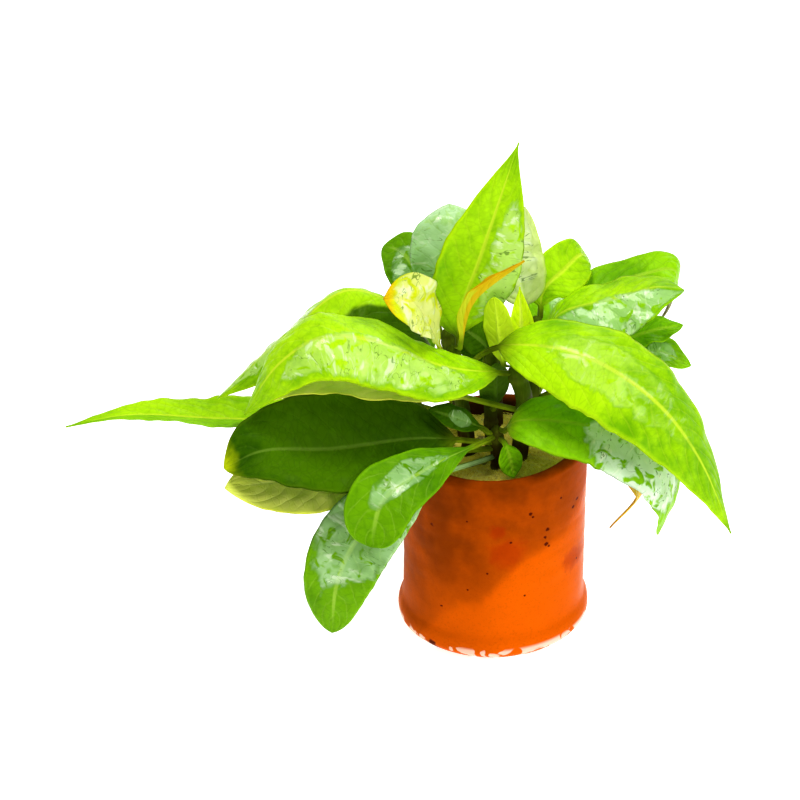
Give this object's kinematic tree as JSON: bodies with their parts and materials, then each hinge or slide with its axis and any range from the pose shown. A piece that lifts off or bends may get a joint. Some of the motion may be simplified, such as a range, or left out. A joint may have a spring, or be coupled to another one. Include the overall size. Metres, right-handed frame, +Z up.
{
  "type": "potted hygrophila",
  "caption": "Bushy aquatic plant with broad pointed wet leaves on short stems, rooted in a wool plug in a small round clay pot.",
  "frame": {"origin": "on the pot's flat foot, straight below the middle of its mouth", "axes": "+Z up, -Y towards the side where the low leaves hang over the lip, +X to the right seen from there"},
  "size_m": [0.1773, 0.106, 0.1411],
  "materials": {
    "clay": "satin",
    "wool": "matte",
    "stem": "satin",
    "leaf": "gloss",
    "young_leaf": "gloss",
    "dark_leaf": "gloss"
  },
  "bodies": {
    "root": {"pot": "clay", "wool_plug": "wool", "stem_front": "stem", "stem_left": "stem", "stem_left_back": "stem", "stem_right_back": "stem", "stem_low": "stem", "stem_middle": "stem", "stem_back": "stem", "leaf_spear": "leaf", "leaf_spear_behind": "leaf", "leaf_young": "young_leaf", "leaf_back_gray": "leaf", "leaf_back_left": "leaf", "leaf_crinkled": "young_leaf", "leaf_arched_left": "leaf", "leaf_front_left": "leaf", "leaf_far_left": "leaf", "leaf_yellow_left": "young_leaf", "leaf_big_dark": "dark_leaf", "leaf_under_dark": "leaf", "leaf_front_small": "leaf", "leaf_low_front": "leaf", "leaf_centre_dark": "dark_leaf", "leaf_hanging": "leaf", "leaf_right_low": "leaf", "leaf_right_hidden": "leaf", "leaf_front_right": "leaf", "leaf_right_up": "leaf", "leaf_right_side": "leaf", "leaf_right_back": "leaf", "leaf_far_right_a": "dark_leaf", "leaf_far_right_b": "dark_leaf", "leaf_centre_young": "young_leaf", "leaf_centre_bright": "young_leaf", "leaf_inner_dark": "dark_leaf", "leaf_upright_dark": "dark_leaf", "leaf_rear_low": "dark_leaf", "leaf_rear_high": "leaf", "leaf_rear_left_low": "dark_leaf", "leaf_rear_left_high": "leaf", "leaf_rear_right_low": "dark_leaf", "leaf_rear_right_high": "leaf", "leaf_rear_side": "dark_leaf"}
  },
  "joints": []
}
